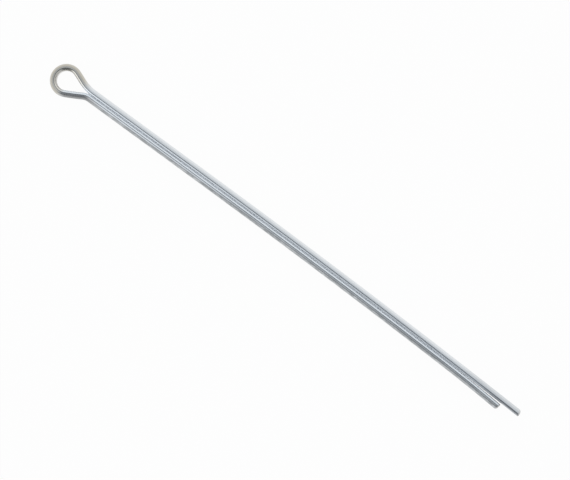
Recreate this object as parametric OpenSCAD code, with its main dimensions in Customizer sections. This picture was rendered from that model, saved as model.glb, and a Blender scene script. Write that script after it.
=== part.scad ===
// Cotter pin of the extended-prong kind, in zinc-plated steel.
//
// One length of half-round wire, nothing else: it is bent round on its flat
// face into an open eye, brought back by two necks, and closed flat against
// flat into a split round shank. The two prongs bow gently to one side. The
// upper prong is the longer one, and the tip of the lower one springs away.
//
// Frame: millimetres. The pin lies flat, with +Z up and the wire's middle at
// Z = 0. The origin is on the axis of the shank, where the closed shank
// starts. The shank heads along +X, the eye is at -X, the long prong is on
// the +Y side, and the split between the flats is the plane Y = 0.

/* [Wire] */
// Diameter of the closed shank, across both half-round lengths
shank_d = 4.42; // [4.2:0.01:4.6]
// Rounding of the wire's two edges, where the flat turns into the crown
edge_r = 0.8; // [0.6:0.01:0.9]
// Gap left between the two flats along the closed shank
flat_gap = 0.06; // [0.02:0.01:0.2]

/* [Eye] */
// Clear width inside the eye, from flat to flat
eye_d = 6.26; // [5.6:0.02:6.8]
// How far the middle of the eye sits below the axis of the shank
eye_drop = 0.73; // [0.3:0.01:1.1]
// Radius of the nearly straight sides that run from the eye to the necks
side_r = 90; // [40:1:900]

/* [Neck] */
// Distance from the middle of the eye to the start of the closed shank
neck_len = 9.34; // [8.6:0.02:11]
// Radius at which the long prong's side turns into the shank
long_neck_r = 14.5; // [10:0.1:18]
// Radius at which the short prong's side turns into the shank
short_neck_r = 5.8; // [4:0.1:9]

/* [Prongs] */
// Straight length of the closed shank, before the bow begins
straight_len = 41.6; // [30:0.1:60]
// Radius of the gentle bow of both prongs, towards the short prong
bow_r = 3357; // [2000:1:9000]
// Length of the short prong, from the start of the closed shank
short_len = 162.6; // [120:0.1:180]
// How much farther the long prong reaches
extension = 6.6; // [3:0.1:12]
// Length at the tip of the short prong that springs away from the long one
spring_len = 22.4; // [10:0.1:40]
// Radius of that springing tip
spring_r = 543; // [300:1:1500]

/* [Hidden] */
$fn = 96;

// facets to the full turn on the bows, which are short arcs of a great circle
bow_facets = 720;

crown_r = shank_d / 2;
half_gap = flat_gap / 2;

// The two edge rounds stand this much past the crown, which trims them, so
// round and crown cross at a clean corner instead of just touching.
edge_trim = 0.067;
// middle of an edge round: its height over the split, and its way out from the
// middle of the wire
edge_y = half_gap + edge_r;
edge_z = sqrt(pow(crown_r - edge_r + edge_trim, 2) - pow(edge_y, 2));
// the wire's blank fans out past its edges to this many times their distance
fan = shank_d;

eye_r = eye_d / 2;
eye_path_r = eye_r - half_gap;

// which way a length of wire turns: towards its flat, towards its crown or not
IN = -1;
OUT = 1;
AHEAD = 0;

// angle of an arc of this length at this radius
function arc_angle(length, r) = milli(length / r * 180 / PI);

// an angle to a thousandth of a degree, and a length to six figures
function milli(v) = round(v * 1000) / 1000;
function sig6(v) = v == 0 ? 0 : let (p = pow(10, 5 - floor(log(abs(v))))) round(v * p) / p;

// ---- eye, sides and necks ------------------------------------------------
//
// Each prong is laid out on its own, with its crown on +Y. drop is how far the
// eye's middle lies from the axis of the shank, away from that prong. The side
// leaves the eye on a common tangent, from inside the circle of side_r, and
// meets the neck's circle on another. The three centres and the two tangent
// points give a triangle of known sides.

function eye_middle(drop) = [-neck_len, -drop];
function neck_middle(neck_r) = [0, half_gap + neck_r];
function bearing(v) = atan2(v[1], v[0]);

// slope of the wire where the eye passes into the side, below the X axis
function eye_slope(neck_r, drop) =
    let (
        to_neck = neck_middle(neck_r) - eye_middle(drop),
        near = side_r - eye_r,
        far = side_r + neck_r,
        apart = norm(to_neck),
        corner = acos((near * near + apart * apart - far * far) / (2 * near * apart))
    )
    milli(corner - 90 - bearing(to_neck));

// slope of the wire where the side passes into the neck
function neck_slope(neck_r, drop) =
    let (
        out = 90 - eye_slope(neck_r, drop),
        side_middle = eye_middle(drop) - (side_r - eye_r) * [cos(out), sin(out)]
    )
    milli(90 - bearing(neck_middle(neck_r) - side_middle));

// ---- path of the wire ----------------------------------------------------
//
// A path is a row of lengths of wire. Each is [way, radius, angle], with the
// radius struck on the wire's flat, or [AHEAD, 0, length]. The path itself is
// the split line, half a gap under the flat, and a place on it is
// [x, y, heading].

function path_r(length) = length[1] + length[0] * half_gap;
function after(place, length) =
    let (
        way = length[0],
        r = path_r(length),
        from = place[2],
        to = from + way * length[2]
    )
    way == AHEAD
        ? place + length[2] * [cos(from), sin(from), 0]
        : place + [way * r * (sin(to) - sin(from)), way * r * (cos(from) - cos(to)), to - from];

// from the eye down its side, round the neck and along the closed shank
function to_shank(neck_r, drop) =
    let (
        from_eye = eye_slope(neck_r, drop),
        into_neck = neck_slope(neck_r, drop)
    )
    [
        [IN, side_r, into_neck - from_eye],
        [OUT, neck_r, into_neck],
        [AHEAD, 0, straight_len]
    ];

// where that starts, at the end of the eye
function eye_end(neck_r, drop) =
    let (
        middle = eye_middle(drop),
        slope = eye_slope(neck_r, drop)
    )
    [middle[0] + eye_path_r * sin(slope), middle[1] + eye_path_r * cos(slope), -slope];

// The long prong keeps its bow up to its square-cut tip. The short one has the
// same bow up to where it begins to spring away.
bow_angle = arc_angle(short_len - spring_len - straight_len, bow_r);

long_path = concat(to_shank(long_neck_r, eye_drop), [
    [IN, bow_r, arc_angle(short_len + extension - straight_len, bow_r)]
]);
short_path = concat(to_shank(short_neck_r, -eye_drop), [
    [OUT, bow_r, bow_angle],
    [OUT, spring_r, arc_angle(spring_len, spring_r)]
]);

// ---- wire ----------------------------------------------------------------

// Section of the wire, with the distance from the split along X: a crown struck
// from the axis of the shank, a flat, and a round on each edge.
module wire_section() {
    intersection() {
        circle(crown_r);
        union() {
            for (side = [-1, 1])
                translate([edge_y, side * edge_z])
                    circle(edge_r);
            polygon([
                [half_gap, -edge_z],
                [half_gap, edge_z],
                [edge_y, edge_z],
                [edge_y * fan, edge_z * fan],
                [edge_y * fan, -edge_z * fan],
                [edge_y, -edge_z]
            ]);
        }
    }
}

// Move in two steps, the second one bringing in what is left past six figures,
// so that neighbouring lengths of wire meet face to face.
module put_at(x, y) {
    near = [sig6(x), sig6(y), 0];
    translate(near)
        translate([x, y, 0] - near)
            children();
}

module straight_wire(place, length) {
    put_at(place[0], place[1])
        rotate([90, 0, 90])
            linear_extrude(length[2])
                wire_section();
}

// A bend is turned about its own middle, and starts at its own angle there, so
// it never has to be rotated into place.
module bent_wire(place, length) {
    way = length[0];
    r = path_r(length);
    from = place[2];
    put_at(place[0] - way * r * sin(from), place[1] + way * r * cos(from))
        rotate_extrude(
            start = way == OUT ? from - 90 : after(place, length)[2] + 90,
            angle = length[2],
            $fn = r > side_r ? bow_facets : $fn
        )
            translate([r, 0])
                if (way == OUT)
                    mirror([1, 0])
                        wire_section();
                else
                    wire_section();
}

// the wire along a path, from one of its lengths on
module wire(path, place, i = 0) {
    if (path[i][0] == AHEAD)
        straight_wire(place, path[i]);
    else
        bent_wire(place, path[i]);
    if (i + 1 < len(path))
        wire(path, after(place, path[i]), i + 1);
}

// ---- the pin -------------------------------------------------------------

// the eye, from the end of the short prong's side round to the long prong's
module eye() {
    long_slope = eye_slope(long_neck_r, eye_drop);
    short_slope = eye_slope(short_neck_r, -eye_drop);
    translate(eye_middle(eye_drop))
        rotate_extrude(start = 90 - long_slope, angle = 180 + long_slope + short_slope)
            translate([eye_path_r, 0])
                wire_section();
}

module cotter_pin() {
    color("silver") {
        eye();
        wire(long_path, eye_end(long_neck_r, eye_drop));
        mirror([0, 1, 0])
            wire(short_path, eye_end(short_neck_r, -eye_drop));
    }
}

cotter_pin();
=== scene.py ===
"""Looks of the cotter pin: one drawn half-round wire, zinc plated, lying on a pale floor.

The wire's path and section follow the same rule as the solid part. A geometry
node tree carries the section along the path, rounds it off at the two cut ends
and tags the surface for the finish.
"""

import logging
import math
from collections.abc import Sequence
from dataclasses import dataclass, field
from enum import Enum
from functools import reduce

import bpy
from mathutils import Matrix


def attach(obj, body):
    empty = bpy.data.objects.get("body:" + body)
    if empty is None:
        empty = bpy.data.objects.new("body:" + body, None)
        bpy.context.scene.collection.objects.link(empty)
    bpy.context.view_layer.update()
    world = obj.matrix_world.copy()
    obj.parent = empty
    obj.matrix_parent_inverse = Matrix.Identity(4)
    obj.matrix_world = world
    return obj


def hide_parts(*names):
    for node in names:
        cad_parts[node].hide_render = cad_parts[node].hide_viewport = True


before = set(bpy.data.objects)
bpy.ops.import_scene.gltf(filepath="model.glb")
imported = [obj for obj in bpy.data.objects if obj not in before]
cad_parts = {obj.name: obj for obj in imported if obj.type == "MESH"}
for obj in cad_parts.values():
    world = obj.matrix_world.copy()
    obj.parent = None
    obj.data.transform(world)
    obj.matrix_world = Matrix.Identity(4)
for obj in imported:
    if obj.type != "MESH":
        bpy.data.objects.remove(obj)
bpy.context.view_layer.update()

LOG = logging.getLogger("cotter_pin")
MM = 0.001

Point = tuple[float, float]
# a soft step: where it is nought, and where it is full
Step = tuple[float, float]
Colour = tuple[float, float, float, float]


class Way(Enum):
    """Which way a length of wire turns."""

    IN = -1
    AHEAD = 0
    OUT = 1


class Tag(str, Enum):
    """Names of the marks that the wire carries on its surface for its finish."""

    ALONG = "along"
    FROM_EYE = "from_eye"
    TANGENT = "heading"
    PLACE = "section_place"
    CUT = "cut_face"


# ---- shape ----------------------------------------------------------------


@dataclass(frozen=True)
class Place:
    """A place on the wire's path, in millimetres and degrees."""

    x: float
    y: float
    heading: float

    def after(self, way: Way, radius: float, size: float) -> "Place":
        """Follow a length of wire.

        Args:
            way: which way it turns.
            radius: radius of the path, in millimetres, unless it runs ahead.
            size: angle of the bend in degrees, or the length ahead.

        Returns:
            The place where that length ends.
        """
        start = math.radians(self.heading)
        if way is Way.AHEAD:
            x, y = self.x + size * math.cos(start), self.y + size * math.sin(start)
            return Place(x, y, self.heading)
        turn = way.value * radius
        heading = self.heading + way.value * size
        end = math.radians(heading)
        return Place(
            self.x + turn * (math.sin(end) - math.sin(start)),
            self.y + turn * (math.cos(start) - math.cos(end)),
            heading,
        )


@dataclass(frozen=True)
class Length:
    """One length of wire: a bend, or a straight."""

    way: Way
    radius: float
    size: float
    step: float

    def points(self, start: Place) -> list[Place]:
        """Points along this length, without its first.

        Args:
            start: the place where it starts.

        Returns:
            The places, the last of which is the length's end.
        """
        run = self.size if self.way is Way.AHEAD else math.radians(self.size) * self.radius
        count = max(1, math.ceil(run / self.step))
        parts = [self.size * i / count for i in range(1, count + 1)]
        return [start.after(self.way, self.radius, part) for part in parts]


@dataclass(frozen=True)
class WireSizes:
    """Sizes of the wire's section, in millimetres."""

    shank_d: float = 4.42
    edge_r: float = 0.8
    flat_gap: float = 0.06
    edge_trim: float = 0.067
    end_break: float = 0.95
    flat_break: float = 0.5
    crown_facets: int = 36
    round_facets: int = 14

    @property
    def crown_r(self) -> float:
        """Radius of the crown."""
        return self.shank_d / 2

    @property
    def half_gap(self) -> float:
        """Distance of the flat from the split."""
        return self.flat_gap / 2

    @property
    def edge_y(self) -> float:
        """Height of an edge round's middle over the split."""
        return self.half_gap + self.edge_r

    @property
    def edge_z(self) -> float:
        """How far an edge round's middle lies from the wire's middle."""
        return math.sqrt((self.crown_r - self.edge_r + self.edge_trim) ** 2 - self.edge_y**2)

    @property
    def half_height(self) -> float:
        """Half of the wire's size upright."""
        return self.edge_z + self.edge_r

    def outline(self) -> list[Point]:
        """Closed outline of the section.

        Returns:
            Points as (height over the split, way out from the wire's middle).
        """
        edge_y, edge_z = self.edge_y, self.edge_z
        # the corner where crown and edge round cross
        apart = math.hypot(edge_y, edge_z)
        bearing = math.atan2(edge_z, edge_y)
        lean = math.acos((self.crown_r**2 + apart**2 - self.edge_r**2) / (2 * self.crown_r * apart))
        corner = bearing + lean
        corner_point = (self.crown_r * math.cos(corner), self.crown_r * math.sin(corner))
        round_start = math.atan2(corner_point[1] - edge_z, corner_point[0] - edge_y)
        crown = [
            (self.crown_r * math.cos(a), self.crown_r * math.sin(a))
            for a in spread(-corner, corner, self.crown_facets)
        ]
        upper = [
            (edge_y + self.edge_r * math.cos(a), edge_z + self.edge_r * math.sin(a))
            for a in spread(round_start, math.pi, self.round_facets)
        ]
        lower = [(y, -z) for y, z in reversed(upper)]
        return crown + upper[1:] + lower[:-1]


def spread(first: float, last: float, steps: int) -> list[float]:
    """Evenly spread numbers.

    Args:
        first: the first number.
        last: the last number.
        steps: how many steps lie between them.

    Returns:
        The numbers, both ends included.
    """
    return [first + (last - first) * i / steps for i in range(steps + 1)]


@dataclass(frozen=True)
class PinSizes:
    """Sizes of the pin's path, in millimetres."""

    wire: WireSizes = field(default_factory=WireSizes)
    eye_d: float = 6.26
    eye_drop: float = 0.73
    side_r: float = 90.0
    neck_len: float = 9.34
    long_neck_r: float = 14.5
    short_neck_r: float = 5.8
    straight_len: float = 41.6
    bow_r: float = 3357.0
    short_len: float = 162.6
    extension: float = 6.6
    spring_len: float = 22.4
    spring_r: float = 543.0
    bend_step: float = 0.16
    run_step: float = 0.8
    end_steps: int = 9

    @property
    def eye_r(self) -> float:
        """Inside radius of the eye."""
        return self.eye_d / 2

    def slopes(self, neck_r: float, drop: float) -> tuple[float, float]:
        """Slopes of the side where it leaves the eye and where it enters the neck.

        Args:
            neck_r: radius of the neck on the flat.
            drop: how far the eye's middle lies away from this prong.

        Returns:
            Both slopes below the shank's axis, in degrees.
        """
        across, up = self.neck_len, self.wire.half_gap + neck_r + drop
        near, far = self.side_r - self.eye_r, self.side_r + neck_r
        apart = math.hypot(across, up)
        corner = math.degrees(math.acos((near**2 + apart**2 - far**2) / (2 * near * apart)))
        from_eye = corner - 90 - math.degrees(math.atan2(up, across))
        out = math.radians(90 - from_eye)
        side = (-self.neck_len - near * math.cos(out), -drop - near * math.sin(out))
        into_neck = 90 - math.degrees(math.atan2(self.wire.half_gap + neck_r - side[1], -side[0]))
        return from_eye, into_neck

    def prong(self, long: bool) -> list[Place]:
        """Places from the eye's far point down one prong to its tip, crown on +Y.

        Args:
            long: the long prong, or else the short one.

        Returns:
            The places, first to last.
        """
        drop = self.eye_drop if long else -self.eye_drop
        neck_r = self.long_neck_r if long else self.short_neck_r
        gap = self.wire.half_gap
        from_eye, into_neck = self.slopes(neck_r, drop)
        bow_way = Way.IN if long else Way.OUT
        shared = self.short_len - self.spring_len - self.straight_len
        tail = self.spring_len + (self.extension if long else 0)
        tail_r = self.bow_r if long else self.spring_r
        end = self.wire.end_break
        lengths = [
            Length(Way.IN, self.eye_r - gap, 90 + from_eye, self.bend_step),
            Length(Way.IN, self.side_r - gap, into_neck - from_eye, self.run_step / 2),
            Length(Way.OUT, neck_r + gap, into_neck, self.bend_step),
            Length(Way.AHEAD, 0.0, self.straight_len, self.run_step),
            arc(bow_way, self.bow_r + bow_way.value * gap, shared, self.run_step),
            arc(bow_way, tail_r + bow_way.value * gap, tail - end, self.run_step),
            arc(bow_way, tail_r + bow_way.value * gap, end, end / self.end_steps),
        ]
        places = [Place(-self.neck_len - self.eye_r + gap, -drop, 90.0)]
        for length in lengths:
            places += length.points(places[-1])
        return places

    def path(self) -> list[Point]:
        """The whole path.

        Returns:
            Points from the long prong's tip round the eye to the short one's.
        """
        long = [(p.x, p.y) for p in self.prong(long=True)]
        short = [(p.x, -p.y) for p in self.prong(long=False)]
        return list(reversed(long)) + short[1:]


def arc(way: Way, radius: float, run: float, step: float) -> Length:
    """A bend given by its length.

    Args:
        way: which way it turns.
        radius: radius of the path.
        run: length of the path.
        step: longest step between its points.

    Returns:
        The length of wire.
    """
    return Length(way, radius, math.degrees(run / radius), step)


# ---- geometry nodes --------------------------------------------------------


class Tree:
    """A thin helper that adds nodes to a tree and links them."""

    def __init__(self, tree: bpy.types.NodeTree) -> None:
        """Keep the tree that nodes are added to."""
        self.tree = tree

    def add(self, kind: str, inputs: dict | None = None, **settings: object) -> bpy.types.Node:
        """Add one node.

        Args:
            kind: the node's type.
            inputs: a value, or another node's output, for each named or numbered input.
            **settings: the node's own properties.

        Returns:
            The new node.
        """
        node = self.tree.nodes.new(kind)
        for name, value in settings.items():
            setattr(node, name, value)
        for key, value in (inputs or {}).items():
            socket = node.inputs[key]
            if isinstance(value, bpy.types.NodeSocket):
                self.tree.links.new(value, socket)
            else:
                socket.default_value = value
        return node

    def math(self, operation: str, *values: object) -> bpy.types.NodeSocket:
        """Add a Math node.

        Args:
            operation: what it does.
            *values: its inputs, in order.

        Returns:
            Its result.
        """
        return self.add("ShaderNodeMath", dict(enumerate(values)), operation=operation).outputs[0]

    def vector(self, operation: str, *values: object) -> bpy.types.Node:
        """Add a Vector Math node.

        Args:
            operation: what it does.
            *values: its inputs, in order.

        Returns:
            The node.
        """
        node = self.tree.nodes.new("ShaderNodeVectorMath")
        node.operation = operation
        vectors = [s for s in node.inputs if s.type == "VECTOR"]
        for value, socket in zip(values, vectors, strict=False):
            if isinstance(value, bpy.types.NodeSocket):
                self.tree.links.new(value, socket)
            else:
                socket.default_value = value
        return node

    def times(self, *values: object) -> bpy.types.NodeSocket:
        """Multiply two or more values.

        Args:
            *values: the values.

        Returns:
            Their product.
        """
        return reduce(lambda first, second: self.math("MULTIPLY", first, second), values)

    def largest(self, *values: object) -> bpy.types.NodeSocket:
        """Pick the largest of two or more values.

        Args:
            *values: the values.

        Returns:
            The largest.
        """
        return reduce(lambda first, second: self.math("MAXIMUM", first, second), values)

    def share(self, part: float, first: object, second: object) -> bpy.types.NodeSocket:
        """Add two values up by their shares.

        Args:
            part: the first one's share; the second one has the rest.
            first: the first value.
            second: the second value.

        Returns:
            The sum.
        """
        return self.math("ADD", self.times(first, part), self.times(second, 1.0 - part))

    def noise(
        self, place: bpy.types.NodeSocket, detail: float, roughness: float
    ) -> bpy.types.NodeSocket:
        """Add a noise of unit size.

        Args:
            place: where it is read.
            detail: how many finer layers it has.
            roughness: how strong the finer layers are.

        Returns:
            Its value, about one half on average.
        """
        return self.add(
            "ShaderNodeTexNoise",
            {"Vector": place, "Scale": 1.0, "Detail": detail, "Roughness": roughness},
        ).outputs[0]

    def ramp(
        self, value: bpy.types.NodeSocket, low: float, high: float, top: float = 1.0
    ) -> bpy.types.NodeSocket:
        """Add a soft step.

        Args:
            value: what is tested.
            low: where the step is nought.
            high: where it is full; it may lie below low.
            top: how high it is when full.

        Returns:
            The step's height.
        """
        ends = (0.0, top) if low < high else (top, 0.0)
        return self.add(
            "ShaderNodeMapRange",
            {0: value, 1: min(low, high), 2: max(low, high), 3: ends[0], 4: ends[1]},
            interpolation_type="SMOOTHSTEP",
        ).outputs[0]

    def blend(self, part: object, first: object, second: object) -> bpy.types.NodeSocket:
        """Add a mix of two colours.

        Args:
            part: how much of the second one shows.
            first: the first colour.
            second: the second colour.

        Returns:
            The mixed colour.
        """
        return self.add(
            "ShaderNodeMix", {0: part, 6: first, 7: second}, data_type="RGBA"
        ).outputs[2]


class WireSweep:
    """The node tree that carries a section along a path and finishes its ends."""

    # a face is a cut end when it looks along the wire by more than this
    CUT_FACING = 0.9
    # how much of the flat's own height is kept where its corner is rounded off
    FLAT_KEPT = 0.15

    SOCKETS = (
        ("Geometry", "NodeSocketGeometry"),
        ("Section", "NodeSocketObject"),
        ("Crown radius", "NodeSocketFloat"),
        ("End break", "NodeSocketFloat"),
        ("Flat break", "NodeSocketFloat"),
        ("Eye place", "NodeSocketFloat"),
        ("Wire length", "NodeSocketFloat"),
        ("Finish", "NodeSocketMaterial"),
    )

    def __init__(self) -> None:
        """Build the tree."""
        self.group = bpy.data.node_groups.new("wire_sweep", "GeometryNodeTree")
        for name, kind in self.SOCKETS:
            self.group.interface.new_socket(name, in_out="INPUT", socket_type=kind)
        kind = "NodeSocketGeometry"
        self.group.interface.new_socket("Geometry", in_out="OUTPUT", socket_type=kind)
        self._build(Tree(self.group))

    def _build(self, t: Tree) -> None:
        """Add the tree's nodes.

        Args:
            t: the tree.
        """
        source = t.add("NodeGroupInput")
        path = t.add("GeometryNodeMeshToCurve", {0: source.outputs["Geometry"]}).outputs[0]
        path = t.add("GeometryNodeSetCurveNormal", {"Curve": path}, mode="Z_UP").outputs[0]
        parameter = t.add("GeometryNodeSplineParameter")
        tangent = t.add("GeometryNodeInputTangent").outputs[0]
        along = parameter.outputs["Length"]
        path = self._store(t, path, Tag.ALONG, along, "FLOAT")
        from_eye = t.math("SUBTRACT", along, source.outputs["Eye place"])
        path = self._store(t, path, Tag.FROM_EYE, from_eye, "FLOAT")
        path = self._store(t, path, Tag.TANGENT, tangent, "FLOAT_VECTOR")

        section = t.add("GeometryNodeObjectInfo", {"Object": source.outputs["Section"]})
        outline = t.add("GeometryNodeMeshToCurve", {0: section.outputs["Geometry"]}).outputs[0]
        place = t.add("GeometryNodeInputPosition").outputs[0]
        outline = self._store(t, outline, Tag.PLACE, place, "FLOAT_VECTOR")

        swept = t.add(
            "GeometryNodeCurveToMesh",
            {"Curve": path, "Profile Curve": outline, "Fill Caps": True},
        ).outputs[0]
        shaped = t.add(
            "GeometryNodeSetPosition",
            {"Geometry": swept, "Offset": self._end_offset(t, source)},
        ).outputs[0]
        heading = self._read(t, Tag.TANGENT, "FLOAT_VECTOR")
        normal = t.add("GeometryNodeInputNormal").outputs[0]
        facing = t.math("ABSOLUTE", t.vector("DOT_PRODUCT", heading, normal).outputs["Value"])
        cut = t.math("GREATER_THAN", facing, self.CUT_FACING)
        tagged = self._store(t, shaped, Tag.CUT, cut, "FLOAT", "FACE")
        smooth = t.add("GeometryNodeSetShadeSmooth", {"Geometry": tagged}).outputs[0]
        real = t.add("GeometryNodeRealizeInstances", {"Geometry": smooth}).outputs[0]
        dressed = t.add(
            "GeometryNodeSetMaterial", {"Geometry": real, "Material": source.outputs["Finish"]}
        ).outputs[0]
        t.add("NodeGroupOutput", {"Geometry": dressed})

    def _end_offset(self, t: Tree, source: bpy.types.Node) -> bpy.types.NodeSocket:
        """How far each point draws in to round crown and flat off near a cut end.

        Args:
            t: the tree.
            source: its group input.

        Returns:
            The offset of each point.
        """
        along = self._read(t, Tag.ALONG, "FLOAT")
        end = t.math("MINIMUM", along, t.math("SUBTRACT", source.outputs["Wire length"], along))
        drawn = self._drawn_in(t, end, source.outputs["End break"])
        limit = t.math("SUBTRACT", source.outputs["Crown radius"], drawn)
        place = self._read(t, Tag.PLACE, "FLOAT_VECTOR")
        reach = t.vector("LENGTH", place).outputs["Value"]
        keep = t.math("MINIMUM", t.math("DIVIDE", limit, reach), 1.0)
        axes = t.add("ShaderNodeSeparateXYZ", {0: place})
        kept = t.times(axes.outputs[0], keep)
        lift = self._drawn_in(t, end, source.outputs["Flat break"])
        lifted = t.largest(kept, t.math("ADD", lift, t.times(kept, self.FLAT_KEPT)))
        heading = self._read(t, Tag.TANGENT, "FLOAT_VECTOR")
        side = t.vector("CROSS_PRODUCT", heading, (0.0, 0.0, 1.0)).outputs["Vector"]
        out = t.add("ShaderNodeVectorMath", operation="SCALE")
        t.tree.links.new(side, out.inputs[0])
        t.tree.links.new(t.math("SUBTRACT", lifted, axes.outputs[0]), out.inputs["Scale"])
        # the section's second axis points down
        rise = t.times(axes.outputs[1], t.math("SUBTRACT", 1.0, keep))
        up = t.add("ShaderNodeCombineXYZ", {2: rise}).outputs[0]
        return t.vector("ADD", out.outputs["Vector"], up).outputs["Vector"]

    @staticmethod
    def _drawn_in(
        t: Tree, end: bpy.types.NodeSocket, rounding: bpy.types.NodeSocket
    ) -> bpy.types.NodeSocket:
        """How far a rounded corner lies inside the square one.

        Args:
            t: the tree.
            end: distance to the cut end.
            rounding: radius of the corner.

        Returns:
            The distance, none beyond the rounding.
        """
        short = t.largest(t.math("SUBTRACT", rounding, end), 0.0)
        rest = t.math("SUBTRACT", t.times(rounding, rounding), t.times(short, short))
        return t.math("SUBTRACT", rounding, t.math("SQRT", t.largest(rest, 0.0)))

    @staticmethod
    def _store(
        t: Tree,
        geometry: bpy.types.NodeSocket,
        tag: Tag,
        value: bpy.types.NodeSocket,
        kind: str,
        domain: str = "POINT",
    ) -> bpy.types.NodeSocket:
        """Store a mark on the geometry.

        Args:
            t: the tree.
            geometry: what is marked.
            tag: the mark.
            value: its value.
            kind: its data type.
            domain: what carries it.

        Returns:
            The marked geometry.
        """
        return t.add(
            "GeometryNodeStoreNamedAttribute",
            {"Geometry": geometry, "Name": tag.value, "Value": value},
            data_type=kind,
            domain=domain,
        ).outputs[0]

    @staticmethod
    def _read(t: Tree, tag: Tag, kind: str) -> bpy.types.NodeSocket:
        """Read a mark of the given data type."""
        node = t.add("GeometryNodeInputNamedAttribute", {"Name": tag.value}, data_type=kind)
        return node.outputs["Attribute"]

    def apply(self, piece: bpy.types.Object, values: dict[str, object]) -> bpy.types.Object:
        """Run the tree on an object and keep the result as a plain mesh.

        Args:
            piece: the object that carries the path.
            values: the tree's inputs by name.

        Returns:
            A new object with the finished mesh; the old one is removed.
        """
        modifier = piece.modifiers.new("sweep", "NODES")
        modifier.node_group = self.group
        for item in self.group.interface.items_tree:
            if item.item_type == "SOCKET" and item.in_out == "INPUT" and item.name in values:
                modifier[item.identifier] = values[item.name]
        bpy.context.view_layer.update()
        graph = bpy.context.evaluated_depsgraph_get()
        mesh = bpy.data.meshes.new_from_object(piece.evaluated_get(graph), depsgraph=graph)
        name = piece.name
        bpy.data.objects.remove(piece)
        made = bpy.data.objects.new(name, mesh)
        mesh.name = name
        bpy.context.scene.collection.objects.link(made)
        return made


def line_object(name: str, points: Sequence[Point], closed: bool) -> bpy.types.Object:
    """An object whose mesh is one line through the points.

    Args:
        name: its name.
        points: the points, in millimetres.
        closed: whether the last point joins the first.

    Returns:
        The object, linked to the scene.
    """
    mesh = bpy.data.meshes.new(name)
    verts = [(x * MM, y * MM, 0.0) for x, y in points]
    edges = [(i, i + 1) for i in range(len(verts) - 1)]
    if closed:
        edges.append((len(verts) - 1, 0))
    mesh.from_pydata(verts, edges, [])
    made = bpy.data.objects.new(name, mesh)
    bpy.context.scene.collection.objects.link(made)
    return made


# ---- finishes --------------------------------------------------------------


def new_material(name: str) -> tuple[bpy.types.Material, Tree]:
    """Make an empty material.

    Args:
        name: its name.

    Returns:
        The material and its node tree.
    """
    made = bpy.data.materials.new(name)
    made.use_nodes = True
    made.node_tree.nodes.clear()
    return made, Tree(made.node_tree)


@dataclass(frozen=True)
class Grain:
    """A noise drawn out along the wire, with its lengths in metres."""

    width: float
    length: float
    detail: float
    roughness: float
    depth: float = 0.0


class WireSurface:
    """What a finish reads from the wire: its marks, and noises laid along it."""

    def __init__(self, tree: Tree) -> None:
        """Read the marks.

        Args:
            tree: the finish's node tree.
        """
        self.tree = tree
        self.along = self._mark(Tag.FROM_EYE, "Fac")
        self.cut = self._mark(Tag.CUT, "Fac")
        place = self._mark(Tag.PLACE, "Vector")
        self.height, self.level, _ = tree.add("ShaderNodeSeparateXYZ", {0: place}).outputs

    def _mark(self, tag: Tag, output: str) -> bpy.types.NodeSocket:
        """Read one mark."""
        return self.tree.add("ShaderNodeAttribute", attribute_name=tag.value).outputs[output]

    def stretch(self, *steps: Step) -> bpy.types.NodeSocket:
        """Share of a stretch of the wire.

        Args:
            *steps: the soft steps that bound it, from the eye's far point.

        Returns:
            One on the stretch and nought off it.
        """
        return self.tree.times(*(self.tree.ramp(self.along, *step) for step in steps))

    def band(self, *steps: Step) -> bpy.types.NodeSocket:
        """Share of a band across the wire.

        Args:
            *steps: the soft steps that bound it, from the split.

        Returns:
            One on the band and nought off it.
        """
        return self.tree.times(*(self.tree.ramp(self.height, *step) for step in steps))

    def noise(self, grain: Grain) -> bpy.types.NodeSocket:
        """Lay a noise along the wire.

        Args:
            grain: its sizes.

        Returns:
            Its value, about one half on average.
        """
        t = self.tree
        place = t.add(
            "ShaderNodeCombineXYZ",
            {
                0: t.math("DIVIDE", self.height, grain.width),
                1: t.math("DIVIDE", self.level, grain.width),
                2: t.math("DIVIDE", self.along, grain.length),
            },
        ).outputs[0]
        return t.noise(place, grain.detail, grain.roughness)


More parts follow.
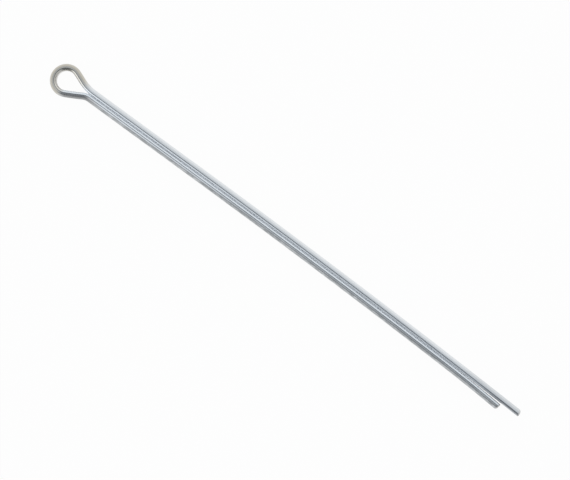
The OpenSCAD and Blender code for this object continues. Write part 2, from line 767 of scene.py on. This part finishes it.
@dataclass(frozen=True)
class ZincFinish:
    """Bright zinc plating on drawn steel wire.

    Lengths are in metres. Places along the wire are counted from the far point of
    the eye, negative on the long prong and positive on the short one. Places
    across it are counted from the split up to the crown.
    """

    name: str = "zinc_plated_wire"

    # drawn lines, longer streaks and patches
    lines: Grain = Grain(0.00006, 0.006, detail=2.0, roughness=0.6, depth=0.000002)
    streaks: Grain = Grain(0.0004, 0.02, detail=3.0, roughness=0.6, depth=0.000006)
    mottle: Grain = Grain(0.0011, 0.00242, detail=4.0, roughness=0.65)
    line_share: float = 0.35
    grain_share: float = 0.7
    grain_step: Step = (0.32, 0.68)
    mottle_step: Step = (0.38, 0.66)

    # plating, with a painted highlight beside the split, and paler on the crown
    dull: Colour = (0.697, 0.75, 0.806, 1.0)
    bright: Colour = (0.822, 0.88, 0.941, 1.0)
    split_highlight: Colour = (0.895, 0.94, 0.985, 1.0)
    split_highlight_band: Step = (0.00085, 0.0007)
    split_highlight_tone: Step = (-0.6, 0.5)
    split_highlight_tip: Step = (0.166, 0.174)
    split_highlight_widening: float = 0.0007
    pale: Colour = (0.745, 0.768, 0.785, 1.0)
    pale_band: Step = (0.0009, 0.0013)
    pale_level: float = 0.85

    # the long prong's tip
    pale_tip: Colour = (0.65, 0.67, 0.685, 1.0)
    pale_tip_run: Step = (-0.157, -0.168)
    shaded: Colour = (0.58, 0.60, 0.63, 1.0)
    shaded_run: Step = (-0.165, -0.1775)
    shaded_band: Step = (0.0011, 0.0008)

    # warm tint on the eye, from the rim inside it to the crown, with a painted dark reflection line
    # on the crown
    rim: Colour = (0.56, 0.53, 0.48, 1.0)
    straw: Colour = (0.91, 0.86, 0.75, 1.0)
    crest_reflection: Colour = (0.34, 0.315, 0.26, 1.0)
    champagne: Colour = (0.52, 0.49, 0.42, 1.0)
    warm_long: Step = (-0.0138, -0.0085)
    warm_short: Step = (0.0068, 0.0044)
    warm_grain: Step = (-1.2, 1.0)
    inner_warmth: float = 0.9
    flat_band: Step = (0.00055, 0.00025)
    crown_band: Step = (0.0007, 0.0010)
    champagne_band: Step = (0.0010, 0.0017)

    # painted dark reflection: a dark patch inside the top of the eye
    eye_dark_reflection: Colour = (0.46, 0.445, 0.40, 1.0)
    eye_dark_reflection_start: Step = (-0.0053, -0.0040)
    eye_dark_reflection_end: Step = (-0.0016, -0.0025)
    eye_dark_reflection_band: Step = (0.0012, 0.0006)

    # painted shade: dark crown of the short prong's neck
    neck_shade: Colour = (0.58, 0.585, 0.595, 1.0)
    neck_shade_deep: Colour = (0.325, 0.33, 0.335, 1.0)
    neck_shade_start: Step = (0.0045, 0.0068)
    neck_shade_end: Step = (0.0215, 0.0145)
    neck_shade_band: Step = (0.0013, 0.0016)

    # painted shade: a darker mottled strip along the short prong's outer side, wider towards the
    # tip
    side_shade: Colour = (0.39, 0.408, 0.424, 1.0)
    side_shade_deep: Colour = (0.295, 0.312, 0.325, 1.0)
    side_shade_start: Step = (0.0145, 0.0215)
    side_shade_band: Step = (0.0011, 0.00155)
    side_shade_deep_band: Step = (0.00135, 0.00185)
    side_shade_widening_run: Step = (0.060, 0.078)
    side_shade_widening: float = 0.00025
    side_shade_mottle: Step = (0.98, 0.28)

    # painted dark reflection: a thin dark line where the crown begins, but for the short prong's
    # first third
    shoulder_in: Step = (0.00082, 0.00092)
    shoulder_out: Step = (0.0013, 0.00105)
    shoulder_level: float = 0.35
    unlined_start: Step = (0.0044, 0.0068)
    unlined_end: Step = (0.078, 0.060)

    # bare steel at the cut ends
    steel: Colour = (0.50, 0.49, 0.48, 1.0)
    long_end: Step = (-0.1826, -0.1838)
    short_end: Step = (0.1766, 0.1776)
    end_wear: float = 0.8

    # roughness, and how far the warm tint counts as worn
    smooth_roughness: float = 0.12
    streaked_roughness: float = 0.2
    worn_roughness: float = 0.3
    flat_roughness: float = 0.4
    warm_wear: float = 0.4

    def material(self) -> bpy.types.Material:
        """Build the material.

        Returns:
            The material.
        """
        made, t = new_material(self.name)
        wire = WireSurface(t)
        lines, streaks, mottle = (wire.noise(g) for g in (self.lines, self.streaks, self.mottle))
        grain = t.ramp(t.share(self.line_share, lines, streaks), *self.grain_step)
        tone = t.share(self.grain_share, grain, t.ramp(mottle, *self.mottle_step))

        crown = wire.band(self.crown_band)
        flat = wire.band(self.flat_band)
        eye = wire.stretch(self.warm_long, self.warm_short)
        warm = t.times(eye, t.largest(crown, self.inner_warmth))
        # painted shade on the short prong's neck crown, also made rougher
        neck = t.times(wire.stretch(self.neck_shade_start, self.neck_shade_end), crown)
        # painted dark reflection inside the top of the eye
        eye_dark_reflection = t.times(
            wire.stretch(self.eye_dark_reflection_start, self.eye_dark_reflection_end), wire.band(self.eye_dark_reflection_band)
        )
        # painted shade along the short prong's outer side and painted dark line where the crown
        # begins, also made rougher
        painted_shade = self._painted_shade(wire, mottle)
        bare = t.largest(wire.stretch(self.long_end), wire.stretch(self.short_end))
        bare = t.largest(wire.cut, t.times(bare, self.end_wear))

        inner = t.blend(flat, self.straw, self.rim)
        # the darker tone here is a painted dark reflection line on the eye's crown
        outer = t.blend(wire.band(self.champagne_band), self.crest_reflection, self.champagne)
        tint = t.blend(crown, inner, outer)
        neck_shade = t.blend(wire.band(self.neck_shade_band), self.neck_shade, self.neck_shade_deep)
        # colour of the painted shade
        shade_colour = t.blend(wire.band(self.side_shade_deep_band), self.side_shade, self.side_shade_deep)
        colour = self._plating(wire, tone)
        colour = t.blend(t.times(warm, t.ramp(grain, *self.warm_grain)), colour, tint)
        colour = t.blend(neck, colour, neck_shade)
        colour = t.blend(eye_dark_reflection, colour, self.eye_dark_reflection)
        colour = t.blend(painted_shade, colour, shade_colour)
        colour = t.blend(bare, colour, self.steel)

        worn = t.largest(neck, painted_shade, bare, t.times(warm, self.warm_wear))
        rough = t.largest(
            self._polish(t, tone),
            t.times(worn, self.worn_roughness),
            t.times(flat, self.flat_roughness),
        )
        shader = t.add(
            "ShaderNodeBsdfPrincipled",
            {
                "Metallic": 1.0,
                "Roughness": rough,
                "Base Color": colour,
                "Normal": self._relief(t, lines, streaks),
            },
        )
        t.add("ShaderNodeOutputMaterial", {"Surface": shader.outputs[0]})
        return made

    def _plating(self, wire: WireSurface, tone: bpy.types.NodeSocket) -> bpy.types.NodeSocket:
        """Colour of the plating, with a painted highlight beside the split and painted shade at the
        long prong's tip.

        Args:
            wire: the wire's surface.
            tone: how bright its grain is.

        Returns:
            The colour.
        """
        t = wire.tree
        widening = t.ramp(wire.along, *self.split_highlight_tip, self.split_highlight_widening)
        # painted highlight: brighter plating beside the split, wider towards the short prong's tip
        split_highlight = t.ramp(t.math("SUBTRACT", wire.height, widening), *self.split_highlight_band)
        split_highlight = t.times(split_highlight, t.ramp(tone, *self.split_highlight_tone))
        shade = t.times(wire.stretch(self.shaded_run), wire.band(self.shaded_band))
        pale = t.blend(wire.stretch(self.pale_tip_run), self.pale, self.pale_tip)
        colour = t.blend(tone, self.dull, self.bright)
        colour = t.blend(split_highlight, colour, self.split_highlight)
        colour = t.blend(shade, colour, self.shaded)
        return t.blend(t.times(wire.band(self.pale_band), self.pale_level), colour, pale)

    def _painted_shade(self, wire: WireSurface, mottle: bpy.types.NodeSocket) -> bpy.types.NodeSocket:
        """Where shade is painted: a darker strip along the short prong's outer side, and a thin
        dark reflection line where the crown begins.

        Args:
            wire: the wire's surface.
            mottle: its patches.

        Returns:
            The share of the painted shade colour.
        """
        t = wire.tree
        widening = t.ramp(wire.along, *self.side_shade_widening_run, self.side_shade_widening)
        # painted shade strip along the short prong's outer side
        strip = t.ramp(t.math("ADD", wire.height, widening), *self.side_shade_band)
        strip = t.times(wire.stretch(self.side_shade_start), strip, t.ramp(mottle, *self.side_shade_mottle))
        spared = wire.stretch(self.unlined_start, self.unlined_end)
        # painted dark reflection line where the crown begins
        shoulder = t.times(
            wire.band(self.shoulder_in, self.shoulder_out),
            t.math("SUBTRACT", 1.0, spared),
            self.shoulder_level,
        )
        return t.largest(strip, shoulder)

    def _polish(self, t: Tree, tone: bpy.types.NodeSocket) -> bpy.types.NodeSocket:
        """Roughness of the untouched plating.

        Args:
            t: the tree.
            tone: how bright its grain is.

        Returns:
            The roughness.
        """
        ends = {3: self.streaked_roughness, 4: self.smooth_roughness}
        return t.add("ShaderNodeMapRange", {0: tone, 1: 0.0, 2: 1.0, **ends}).outputs[0]

    def _relief(
        self, t: Tree, lines: bpy.types.NodeSocket, streaks: bpy.types.NodeSocket
    ) -> bpy.types.NodeSocket:
        """Surface direction with the drawn lines and streaks in it.

        Args:
            t: the tree.
            lines: the fine lines.
            streaks: the long streaks.

        Returns:
            The direction.
        """
        relief = t.add(
            "ShaderNodeBump",
            {"Height": streaks, "Strength": 1.0, "Distance": self.streaks.depth},
        ).outputs[0]
        return t.add(
            "ShaderNodeBump",
            {"Height": lines, "Strength": 1.0, "Distance": self.lines.depth, "Normal": relief},
        ).outputs[0]


@dataclass(frozen=True)
class FloorFinish:
    """Plain white floor that keeps a soft shadow."""

    name: str = "white_floor"
    colour: Colour = (0.97, 0.97, 0.97, 1.0)
    white: Colour = (1.0, 1.0, 1.0, 1.0)
    lift: float = 0.965

    def material(self) -> bpy.types.Material:
        """Build the material.

        The eye, and the metal that mirrors the floor, both see it lifted towards
        white; what is left of it is a matt surface that carries the shadow.

        Returns:
            The material.
        """
        made, t = new_material(self.name)
        ray = t.add("ShaderNodeLightPath").outputs
        seen = t.largest(
            ray["Is Camera Ray"], ray["Is Glossy Ray"], ray["Is Transmission Ray"]
        )
        matt = t.add("ShaderNodeBsdfDiffuse", {"Color": self.colour}).outputs[0]
        glow = t.add("ShaderNodeEmission", {"Color": self.white, "Strength": 1.0}).outputs[0]
        lifted = t.times(seen, self.lift)
        both = t.add("ShaderNodeMixShader", {0: lifted, 1: matt, 2: glow}).outputs[0]
        t.add("ShaderNodeOutputMaterial", {"Surface": both})
        return made


# ---- pieces ----------------------------------------------------------------


@dataclass
class CotterPinWire:
    """The whole pin: one length of half-round wire."""

    sizes: PinSizes = field(default_factory=PinSizes)
    finish: ZincFinish = field(default_factory=ZincFinish)

    def build(self) -> bpy.types.Object:
        """Sweep the wire and dress it.

        Returns:
            The finished piece, riding on the frame in place of the plain solid.
        """
        points = self.sizes.path()
        to_eye = len(self.sizes.prong(long=True))
        path = line_object("drawn_wire", points, closed=False)
        section = line_object("wire_section", self.sizes.wire.outline(), closed=True)
        piece = WireSweep().apply(
            path,
            {
                "Section": section,
                "Crown radius": self.sizes.wire.crown_r * MM,
                "End break": self.sizes.wire.end_break * MM,
                "Flat break": self.sizes.wire.flat_break * MM,
                "Eye place": line_length(points[:to_eye]) * MM,
                "Wire length": line_length(points) * MM,
                "Finish": self.finish.material(),
            },
        )
        bpy.data.objects.remove(section)
        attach(piece, "root")
        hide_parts("cotter_pin")
        return piece


def line_length(points: Sequence[Point]) -> float:
    """Length of the line through the points."""
    return sum(math.dist(a, b) for a, b in zip(points, points[1:], strict=False))


# ---- stage -----------------------------------------------------------------


@dataclass(frozen=True)
class SoftBox:
    """A soft patch of the surroundings, in degrees: a light, or a darker card."""

    azimuth: float
    height: float
    spread: float
    edge: float
    colour: Colour

    def direction(self) -> tuple[float, float, float]:
        """The way to its middle.

        Returns:
            A direction of unit length, from the pin.
        """
        turn, rise = math.radians(self.azimuth), math.radians(self.height)
        return (math.cos(rise) * math.cos(turn), math.cos(rise) * math.sin(turn), math.sin(rise))


def grey(level: float, blue: float = 0.0) -> Colour:
    """A grey of one level, with a little blue added.

    Args:
        level: its strength.
        blue: how much more blue than red it has.

    Returns:
        The colour.
    """
    return (level - blue / 2, level, level + blue / 2, 1.0)


@dataclass
class Studio:
    """Floor, light and camera, in millimetres and degrees."""

    scale: float = 0.3175
    frame_px: tuple[int, int] = (570, 480)
    origin_px: Point = (91.667, 96.068)
    slope: float = 36.137
    focal: float = 150.0
    sensor: float = 36.0
    floor_z: float = -WireSizes().half_height
    floor_half: float = 1500.0
    view_reach: float = 10000.0
    walls: Colour = grey(0.84, 0.03)
    boxes: tuple[SoftBox, ...] = (
        SoftBox(azimuth=90.0, height=90.0, spread=58.0, edge=26.0, colour=grey(0.75, 0.03)),
        SoftBox(azimuth=20.0, height=42.0, spread=30.0, edge=10.0, colour=grey(0.48, 0.03)),
        SoftBox(azimuth=248.0, height=35.0, spread=20.0, edge=6.0, colour=grey(1.05, 0.03)),
        SoftBox(azimuth=298.0, height=5.0, spread=30.0, edge=12.0, colour=grey(0.22, 0.03)),
        SoftBox(azimuth=302.0, height=45.0, spread=25.0, edge=10.0, colour=grey(0.25, 0.03)),
        SoftBox(azimuth=270.0, height=86.0, spread=17.0, edge=4.0, colour=grey(0.02, 0.02)),
    )

    def build(self) -> None:
        """Set up the whole stage."""
        self.floor()
        self.light()
        self.camera()

    def floor(self) -> None:
        """Lay the floor under the pin."""
        half, z = self.floor_half * MM, self.floor_z * MM
        mesh = bpy.data.meshes.new("floor")
        corners = [(-half, -half, z), (half, -half, z), (half, half, z), (-half, half, z)]
        mesh.from_pydata(corners, [], [(0, 1, 2, 3)])
        made = bpy.data.objects.new("floor", mesh)
        mesh.materials.append(FloorFinish().material())
        bpy.context.scene.collection.objects.link(made)

    def light(self) -> None:
        """Surround the pin with soft light, one patch laid over the next."""
        world = bpy.data.worlds.new("studio")
        world.use_nodes = True
        bpy.context.scene.world = world
        world.node_tree.nodes.clear()
        t = Tree(world.node_tree)
        way = t.add("ShaderNodeTexCoord").outputs["Generated"]
        colour: object = self.walls
        for box in self.boxes:
            toward = t.vector("DOT_PRODUCT", way, box.direction()).outputs["Value"]
            off = t.math("DEGREES", t.math("ARCCOSINE", toward))
            part = t.ramp(off, box.spread + box.edge, box.spread - box.edge)
            colour = t.blend(part, colour, box.colour)
        back = t.add("ShaderNodeBackground", {"Color": colour, "Strength": 1.0}).outputs[0]
        t.add("ShaderNodeOutputWorld", {"Surface": back})

    def camera(self) -> None:
        """Look straight down on the pin, with its shank sloping across the view."""
        data = bpy.data.cameras.new("camera")
        data.lens = self.focal
        data.sensor_width = self.sensor
        data.clip_end = self.view_reach * MM
        away = self.frame_px[0] * self.scale * self.focal / self.sensor
        turn = math.radians(self.slope)
        ahead = (math.cos(turn), math.sin(turn))
        across = (math.sin(turn), -math.cos(turn))
        dx = self.frame_px[0] / 2 - self.origin_px[0]
        dy = self.frame_px[1] / 2 - self.origin_px[1]
        x = (dx * ahead[0] + dy * ahead[1]) * self.scale
        y = (dx * across[0] + dy * across[1]) * self.scale
        made = bpy.data.objects.new("camera", data)
        made.location = (x * MM, y * MM, away * MM)
        made.rotation_euler = (0.0, 0.0, turn)
        bpy.context.scene.collection.objects.link(made)
        bpy.context.scene.camera = made


def main() -> None:
    """Build the pin and its stage, in order."""
    logging.basicConfig(level=logging.INFO, format="%(name)s: %(message)s")
    scene = bpy.context.scene
    scene.view_settings.view_transform = "Standard"
    pin = CotterPinWire().build()
    LOG.info("%s: %d points, %d faces", pin.name, len(pin.data.vertices), len(pin.data.polygons))
    Studio().build()


if __name__ == "__main__":
    main()
